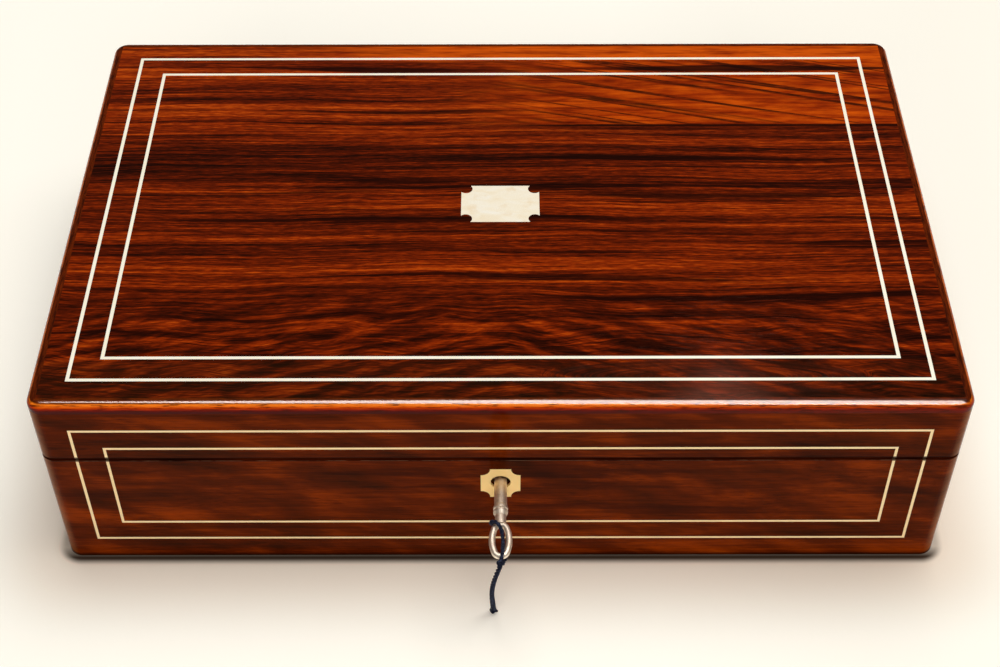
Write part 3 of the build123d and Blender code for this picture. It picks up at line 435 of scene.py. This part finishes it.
def brass(name, tint=(0.62, 0.43, 0.16), roughness=0.26):
    """Lacquered brass with fine scratches and darker patina in clouds."""
    s = Shade(name)
    scratch = s.noise(s.combine(s.times(s.x, 0.25), s.times(s.y, 4.0), s.times(s.z, 4.0)), 1.0, 3.0, 0.6)
    patina = s.noise(s.point, 0.11, 4.0, 0.6)
    dull = tuple(c * k for c, k in zip(tint, (0.55, 0.46, 0.4)))
    color = s.mix(s.span(patina, 0.48, 0.72, 0.0, 0.75), tint, dull)
    s.set(Base_Color=color, Metallic=1.0)
    s.set(Roughness=s.span(scratch, 0.3, 0.7, roughness - 0.06, roughness + 0.14))
    s.bump(s.add(scratch, s.times(patina, 0.4)), 0.10)
    return s.material


def key_steel():
    """Old nickel plate, slightly warm, with dull stains in the turned grooves."""
    s = Shade("key_steel")
    stain = s.noise(s.point, 0.42, 4.0, 0.65)
    turned = s.noise(s.combine(s.times(s.x, 0.2), s.times(s.y, 3.4), s.times(s.z, 0.2)), 1.0, 2.0)
    color = s.mix(s.span(stain, 0.46, 0.74, 0.0, 0.6), (1.0, 0.87, 0.73), (0.60, 0.46, 0.34))
    s.set(Base_Color=color, Metallic=1.0, Roughness=s.span(s.add(stain, turned), 0.7, 1.3, 0.46, 0.58))
    s.bump(s.add(s.times(stain, 0.6), s.times(turned, 0.5)), 0.10)
    return s.material


def ink_glass():
    """Clear pressed glass, slightly uneven."""
    s = Shade("ink_glass")
    swirl = s.noise(s.point, 0.05, 2.0)
    s.set(Base_Color=(0.93, 0.97, 0.95), Transmission_Weight=1.0, IOR=1.5)
    s.set(Roughness=s.span(swirl, 0.3, 0.7, 0.015, 0.05))
    s.bump(swirl, 0.10, 0.4 * mm)
    return s.material


def tooled_leather(name, mid_y, half_y):
    """Green skiver with two gilt lines and a row of gilt dots between them round its border."""
    s = Shade(name)
    half_x = 153.75
    outer_line, dot_row, inner_line = 5.0, 7.6, 10.4     # in from the edge
    dot_step = 3.2
    grainy = s.voronoi(s.point, 1.5)
    cloud = s.noise(s.point, 0.05, 4.0)
    color = s.mix(s.span(cloud, 0.35, 0.7), (0.014, 0.050, 0.030), (0.030, 0.085, 0.052))
    # Distance in from the nearest edge, with the slope's own length along Y.
    steep = sqrt(1 + slope_tan * slope_tan)
    in_x = s.less(half_x, s.math("ABSOLUTE", s.x))
    in_y = s.times(s.less(half_y, s.gap(s.y, mid_y)), steep)
    edge = s.math("MINIMUM", in_x, in_y)
    line = s.span(s.gap(edge, outer_line), 0.45, 0.30)
    thin = s.span(s.gap(edge, inner_line), 0.28, 0.16)
    cell_x = s.gap(s.math("WRAP", s.x, dot_step, 0.0), dot_step / 2)
    cell_y = s.gap(s.math("WRAP", s.y, dot_step, 0.0), dot_step / 2)
    along = s.math("LESS_THAN", in_y, in_x)
    cell = s.add(s.times(along, cell_x), s.times(s.less(1.0, along), cell_y))
    radius = s.math("SQRT", s.add(s.times(cell, cell), s.math("POWER", s.less(edge, dot_row), 2.0)))
    dots = s.span(radius, 0.95, 0.75)
    wear_and_sheen = s.span(s.noise(s.point, 0.6, 3.0), 0.30, 0.44)
    gilt = s.times(s.math("MAXIMUM", s.math("MAXIMUM", line, thin), dots), wear_and_sheen)
    s.set(Base_Color=s.mix(gilt, color, (0.72, 0.48, 0.15)), Metallic=s.times(gilt, 0.9))
    s.set(Roughness=s.span(cloud, 0.3, 0.7, 0.44, 0.56))
    s.bump(s.add(s.times(grainy, 0.5), s.times(gilt, -0.8)), 0.35, 0.12 * mm)
    return s.material


# ---- Materials on the CAD nodes ------------------------------------------------------------------
def dress(material, *names):
    """Gives the CAD nodes one material in place of their own."""
    for name in names:
        piece = bpy.data.objects[name]
        piece.data.materials.clear()
        piece.data.materials.append(material)


dress(top_rosewood(), "lid_top_panel")
dress(edge_banding(), "lid_edge_banding")
dress(rosewood("rosewood_lid_front", "x", 2.0, darker=0.025), "lid_front_wall")
dress(rosewood("rosewood_base_front", "x", 2.6), "base_front_wall")
dress(rosewood("rosewood_back", "x", 5.0), "base_back_wall", "lid_back_wall")
dress(rosewood("rosewood_left", "y", 3.3), "base_left_wall", "lid_left_wall")
dress(rosewood("rosewood_right", "y", 4.1), "base_right_wall", "lid_right_wall")
dress(mahogany("mahogany_case", "x", 1.0), "base_bottom_panel", "base_flap_board", "lid_flap_board")
dress(
    mahogany("mahogany_cross", "y", 2.0),
    "base_flap_ledges", "lid_flap_ledges", "inkwell_partitions", "tray_bearers",
)
dress(mahogany("mahogany_tray", "x", 3.0, 0.3), "pen_tray", "tray_divider")
dress(bone("bone_top_lines", (1.0, 0.95, 0.80), 0.3), "top_outer_lines", "top_inner_lines")
dress(bone("bone_front_lines", (1.0, 0.74, 0.41), 0.2), "base_front_lines", "lid_front_lines")
dress(bone("bone_escutcheon", (1.0, 0.68, 0.28), 0.4), "escutcheon")
dress(plaque_shell(), "name_plaque")
dress(key_steel(), "key")
dress(brass("brass_lock", (0.60, 0.41, 0.15), 0.30), "lock_plate", "lock_cap", "lock_bolt", "link_plate")
screws_and_pins = [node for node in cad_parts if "screws" in node or "pins" in node]
hinge_leaves = [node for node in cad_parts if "hinge" in node and node not in screws_and_pins]
dress(brass("brass_hinges"), *hinge_leaves)
dress(
    brass("brass_fittings", (0.64, 0.46, 0.19), 0.2),
    "lid_flap_catches", "lid_flap_strikes", "inkwell_cap_left", "inkwell_cap_right",
)
dress(brass("brass_screws", (0.55, 0.38, 0.15), 0.24), *screws_and_pins)
dress(key_steel(), "lock_spring", "lock_drill_pin")
dress(ink_glass(), "inkwell_bottle_left", "inkwell_bottle_right")
dress(tooled_leather("leather_base", 26.5, 62.6), "base_flap_leather")
dress(tooled_leather("leather_lid", 0.9, 88.0), "lid_flap_leather")


# ---- The cord on the key -------------------------------------------------------------------------
def cord_material():
    """Navy twisted cotton: fine fibres along each strand, a little fuzz and sheen."""
    s = Shade("navy_cord")
    fibre = s.noise(s.point, 3.2, 4.0, 0.7)
    cloud = s.noise(s.point, 1.3, 3.0, 0.6)
    color = s.mix(s.span(fibre, 0.35, 0.7), (0.0015, 0.0018, 0.0055), (0.009, 0.012, 0.034))
    # The paler patches are partly the fibres' own colour and partly painted highlights on the strands.
    color = s.mix(s.span(cloud, 0.50, 0.66, 0.0, 0.75), color, (0.050, 0.066, 0.120))
    s.set(Base_Color=color, Roughness=0.85, Specular_IOR_Level=0.20)
    s.set(Sheen_Weight=0.05, Sheen_Roughness=0.5, Sheen_Tint=(0.35, 0.42, 0.6))
    s.bump(fibre, 0.5, 0.12 * mm)
    return s.material


navy = cord_material()


def out(point):
    """A point right of the key's axis, outwards from the front face and above the axis, in mm."""
    x, u, z = point
    return Vector((x * mm, front_y - u * mm, key_z + z * mm))


def smooth_route(name, points):
    """Points along the NURBS spline that has the route's points as its control polygon."""
    curve = bpy.data.curves.new(name, "CURVE")
    curve.dimensions = "3D"
    curve.resolution_u = 24
    spline = curve.splines.new("NURBS")
    spline.points.add(len(points) - 1)
    for target, point in zip(spline.points, points):
        target.co = (*out(point), 1)
    spline.order_u = 3
    spline.use_endpoint_u = True
    holder = bpy.data.objects.new(name, curve)
    bpy.context.scene.collection.objects.link(holder)
    bpy.context.view_layer.update()
    mesh = bpy.data.meshes.new_from_object(holder)
    line = [vertex.co.copy() for vertex in mesh.vertices]
    bpy.data.objects.remove(holder)
    bpy.data.curves.remove(curve)
    bpy.data.meshes.remove(mesh)
    return line


def even_points(line, step):
    """The line again, with points a steady step apart."""
    lengths = [0.0]
    for a, b in zip(line, line[1:]):
        lengths.append(lengths[-1] + (b - a).length)
    count = max(2, round(lengths[-1] / step))
    points, i = [], 0
    for k in range(count + 1):
        want = lengths[-1] * k / count
        while i < len(line) - 2 and lengths[i + 1] < want:
            i += 1
        share = (want - lengths[i]) / max(lengths[i + 1] - lengths[i], 1e-9)
        points.append(line[i].lerp(line[i + 1], share))
    return points


def carried_frames(points):
    """Two directions square to the line at each point, carried along it without twist."""
    frames = []
    tangents = [(b - a).normalized() for a, b in zip(points, points[1:])]
    tangents.append(tangents[-1])
    side = tangents[0].orthogonal().normalized()
    for tangent in tangents:
        side = (side - tangent * side.dot(tangent)).normalized()
        frames.append((side, tangent.cross(side)))
    return frames


def add_tube(vertices, faces, centres, frames, radii, sides):
    """Adds a closed tube round the centres, with a ring of corners at each."""
    start = len(vertices)
    for centre, (a, b), radius in zip(centres, frames, radii):
        for k in range(sides):
            angle = 2 * pi * k / sides
            vertices.append(centre + radius * (cos(angle) * a + sin(angle) * b))
    rings = len(centres)
    for i in range(rings - 1):
        for k in range(sides):
            n = (k + 1) % sides
            row, nxt = start + i * sides, start + (i + 1) * sides
            faces.append((row + k, row + n, nxt + n, nxt + k))
    faces.append(tuple(start + k for k in reversed(range(sides))))
    faces.append(tuple(start + (rings - 1) * sides + k for k in range(sides)))


def mesh_piece(name, vertices, faces, material):
    """Puts a smooth mesh with one material into the scene."""
    mesh = bpy.data.meshes.new(name)
    mesh.from_pydata([tuple(v) for v in vertices], [], faces)
    mesh.validate()
    for face in mesh.polygons:
        face.use_smooth = True
    mesh.materials.append(material)
    piece = bpy.data.objects.new(name, mesh)
    bpy.context.scene.collection.objects.link(piece)
    return piece


def rope_mesh(name, line, diameter, pitch, swell=lambda share: 1.0):
    """Twisted strands round a line, each a little uneven; swell gives their thickness along it."""
    strands, step, sides = 2, 0.28 * mm, 10
    points = even_points(line, step)
    frames = carried_frames(points)
    strand_radius = diameter / 2 * 0.60
    orbit = diameter / 2 - strand_radius
    vertices, faces = [], []
    for strand in range(strands):
        centres, radii = [], []
        for i, (point, (a, b)) in enumerate(zip(points, frames)):
            angle = 2 * pi * (i * step / pitch + strand / strands)
            wobble = 1 + 0.05 * sin(i * 0.37 + strand * 2.1) + 0.03 * sin(i * 0.91 + strand)
            centres.append(point + orbit * (cos(angle) * a + sin(angle) * b))
            radii.append(strand_radius * wobble * swell(i / len(points)))
        add_tube(vertices, faces, centres, carried_frames(centres), radii, sides)
    return mesh_piece(name, vertices, faces, navy)


def knot_line(centre, up, size, tall):
    """A closed trefoil, the shape of a small overhand knot drawn tight."""
    across, up = Vector((1, 0, 0)), Vector(up).normalized()
    third = across.cross(up)
    count = 120
    line = []
    for i in range(count):
        t = 2 * pi * i / count
        a = sin(t) + 2 * sin(2 * t)
        b = cos(t) - 2 * cos(2 * t)
        c = -sin(3 * t)
        line.append(centre + size * (a / 3 * across + tall * b / 3 * up + 0.62 * c * third))
    return line + [line[0]]


loop_points = [
    (0.2, 38.3, 1.0), (0.5, 36.9, 2.5), (0.8, 34.9, 2.8), (0.8, 32.4, 1.7), (1.0, 29.6, 0.2),
    (0.9, 27.0, 0.1), (0.5, 24.9, 1.4), (-0.4, 22.7, 2.8), (-2.2, 21.1, 3.1), (-3.8, 20.0, 1.2),
    (-3.6, 19.2, -1.2), (-2.2, 18.6, -3.0), (0.2, 18.8, -3.8), (2.3, 20.4, -3.6), (3.1, 23.2, -3.1),
    (3.1, 26.4, -3.0), (2.9, 29.6, -3.0), (2.3, 33.0, -3.0), (1.2, 35.9, -2.8), (0.5, 37.6, -0.4),
]
tail_points = [
    (-0.2, 38.4, -1.9), (-1.9, 38.3, -8.5), (-3.1, 37.3, -16.0), (-3.5, 35.0, -24.5),
    (-3.2, 32.0, -34.0), (-2.9, 28.2, -44.2),
]
loop_diameter = 1.6 * mm
tail_diameter = 2.1 * mm


def tail_swell(share):
    """The tail loosens and thickens over its last two fifths."""
    return 0.92 + 0.25 * max(0.0, share - 0.6) / 0.4


loop_line = smooth_route("loop_route", loop_points)
loop = rope_mesh("cord_loop", loop_line, loop_diameter, 3.4 * mm)
knot_centre = out((0.0, 38.1, 0.0))
knot_route = knot_line(knot_centre, (0, -0.35, -0.94), 1.05 * mm, 1.2)
knot = rope_mesh("cord_knot", knot_route, 1.35 * mm, 3.2 * mm)
tail_line = smooth_route("tail_route", tail_points)
tail = rope_mesh("cord_tail", tail_line, tail_diameter, 4.4 * mm, tail_swell)
end_centre = out((-2.8, 28.2, -45.0))
end_route = knot_line(end_centre, (0.1, -0.3, -0.95), 1.2 * mm, 0.9)
end_knot = rope_mesh("cord_end_knot", end_route, 1.25 * mm, 3.0 * mm)
for piece, node in (
    (loop, "key_cord_loop"), (knot, "key_cord_knot"), (tail, "key_cord_tail"), (end_knot, "key_cord_end")
):
    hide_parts(node)
for piece in (loop, knot):
    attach(piece, "key")
# The tail goes on hanging straight down from the knot while the key turns.
for piece in (tail, end_knot):
    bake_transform(piece)


# ---- Floor, light and camera ---------------------------------------------------------------------
overhead_place = (0.33, 0.25, 1.8)
fill_place = (0.0, -1.9, 1.0)
room_light = 0.10
floor_tone = 0.95        # how bright the floor and the room past it look from afar


def floor():
    """A pale floor that a camera or a mirroring surface sees a little lighter than it is lit."""
    s = Shade("pale_floor")
    pale = (0.970, 0.930, 0.835)
    rays = s.tree.nodes.new("ShaderNodeLightPath")
    seen = s.math("MAXIMUM", rays.outputs["Is Camera Ray"], rays.outputs["Is Glossy Ray"])
    # How far out from the case's foot a point lies.
    past_end = s.math("MAXIMUM", s.less(s.math("ABSOLUTE", s.x), end_x - corner_radius), 0.0)
    past_side = s.math("MAXIMUM", s.less(s.math("ABSOLUTE", s.y), side_y - corner_radius), 0.0)
    away = s.math("SQRT", s.add(s.times(past_end, past_end), s.times(past_side, past_side)))
    away = s.less(away, corner_radius)
    # Near the case the paint is warmer, as painted warm bounce light from the wood, and takes a dark
    # painted contact shadow, which is fullest along the front, and the lift fades out.
    paint = s.mix(s.span(away, 0.0, 42.0, smooth=True), (1.0, 0.87, 0.73), pale)
    contact = s.span(away, 1.5, 5.2, 0.975, 0.0, smooth=True)
    contact = s.times(contact, s.span(s.y, -112.0, -107.0, 1.0, 0.4))
    close_lift = s.span(away, 1.5, 8.0, 0.0, 0.08, smooth=True)
    lift = s.add(close_lift, s.span(away, 8.0, 45.0, 0.0, 0.10, smooth=True))
    lift = s.add(lift, s.span(s.y, -170.0, -330.0, 0.0, 0.07), s.span(s.x, 60.0, 240.0, 0.0, -0.10))
    # Far off, the paint evens out the fall-off of the two lamps, so that the floor keeps one pale
    # tone. A lamp gives gain x facing / distance^4, with a gain of watts / pi^2 x its height; for the
    # overhead one, which faces almost straight down, the gain holds the facing too.
    overhead_gain, fill_gain = 9.8, 1.92
    wide, deep = s.times(s.x, mm), s.times(s.y, mm)

    def squared_distance(place):
        x, y, z = place
        return s.add(s.math("POWER", s.less(wide, x), 2.0), s.math("POWER", s.less(deep, y), 2.0), z * z)

    from_overhead = s.times(s.math("POWER", squared_distance(overhead_place), -2.0), overhead_gain)
    facing_fill = s.math("MAXIMUM", s.add(s.times(deep, 0.894), 2.146), 0.0)
    from_fill = s.times(s.math("POWER", squared_distance(fill_place), -2.0), facing_fill, fill_gain)
    lit = s.add(from_overhead, from_fill, room_light)
    far = s.span(away, 300.0, 800.0, smooth=True)
    lift = s.mix_value(far, lift, s.math("MAXIMUM", s.less(floor_tone, lit), 0.0))
    over_lit = s.less(1.0, s.math("MINIMUM", s.math("DIVIDE", floor_tone, lit), 1.0))
    paint = s.mix(s.times(far, over_lit), paint, (0.0, 0.0, 0.0))
    s.set(Base_Color=s.mix(contact, paint, (0.030, 0.012, 0.004)), Roughness=0.75)
    s.set(Specular_IOR_Level=0.0, Emission_Color=(0.98, 0.99, 0.95))
    s.set(Emission_Strength=s.math("MAXIMUM", s.times(seen, lift), 0.0))
    half = 12.0              # metres
    corners = [(-half, -half, 0), (half, -half, 0), (half, half, 0), (-half, half, 0)]
    return mesh_piece("floor", [Vector(c) for c in corners], [(0, 1, 2, 3)], s.material)


floor()


def soft_box(name, place, aim, size, power, color, diffuse=True, glossy=True, only=()):
    """A rectangular lamp that faces aim; only names the pieces it lights, if it doesn't light all."""
    lamp = bpy.data.lights.new(name, "AREA")
    lamp.shape = "RECTANGLE"
    lamp.size, lamp.size_y = size
    lamp.energy = power
    lamp.color = color
    holder = bpy.data.objects.new(name, lamp)
    bpy.context.scene.collection.objects.link(holder)
    holder.visible_diffuse = diffuse
    holder.visible_glossy = glossy
    if only:
        holder.light_linking.receiver_collection = bpy.data.collections.new(name + "_lit")
        for piece in only:
            holder.light_linking.receiver_collection.objects.link(bpy.data.objects[piece])
    holder.location = place
    holder.rotation_euler = (Vector(aim) - Vector(place)).to_track_quat("-Z", "Y").to_euler()


soft_box("overhead", overhead_place, (0, 0, 0), (1.7, 1.4), 30.0, (1.0, 0.985, 0.955))
soft_box("front_fill", fill_place, (0, 0, 0.05), (1.8, 1.0), 19.0, (1.0, 0.965, 0.92), glossy=False)
# Long panel that only shows as the bright line along the polished round of the top.
soft_box(
    "edge_panel", (0.30, -0.35, 1.7), (0.1, -0.11, 0.09), (1.1, 2.2), 950.0, (1.0, 0.99, 0.92),
    diffuse=False, only=["lid_edge_banding"],
)

world = bpy.data.worlds.new("room")
world.use_nodes = True
bpy.context.scene.world = world
background = world.node_tree.nodes["Background"]
background.inputs["Color"].default_value = (1.0, 0.97, 0.92, 1)
# The room is dim, and a camera that sees past the floor sees it as pale as the floor.
rays = world.node_tree.nodes.new("ShaderNodeLightPath")
seen = world.node_tree.nodes.new("ShaderNodeMapRange")
world.node_tree.links.new(rays.outputs["Is Camera Ray"], seen.inputs["Value"])
seen.inputs["To Min"].default_value = room_light
seen.inputs["To Max"].default_value = floor_tone
world.node_tree.links.new(seen.outputs["Result"], background.inputs["Strength"])


def photo_camera():
    """The photograph's own view: place, aim, roll and angle, fitted to the box's corners."""
    place = Vector((1.01, -524.91, 564.24)) * mm
    yaw, pitch, roll = -0.0025, radians(46.336), -0.00337
    focal_px, frame_px, sensor = 1703.1, 1000, 36.0
    forward = Vector((sin(yaw) * cos(pitch), cos(yaw) * cos(pitch), -sin(pitch)))
    right = forward.cross(Vector((0, 0, 1))).normalized()
    up = right.cross(forward)
    turned_right = right * cos(roll) + up * sin(roll)
    turned_up = up * cos(roll) - right * sin(roll)
    data = bpy.data.cameras.new("camera")
    data.sensor_width = sensor
    data.lens = focal_px * sensor / frame_px
    data.clip_start = 0.01
    camera = bpy.data.objects.new("camera", data)
    bpy.context.scene.collection.objects.link(camera)
    turn = Matrix((turned_right, turned_up, -forward)).transposed().to_4x4()
    camera.matrix_world = Matrix.Translation(place) @ turn
    bpy.context.scene.camera = camera


photo_camera()
bpy.context.scene.view_settings.view_transform = "Standard"
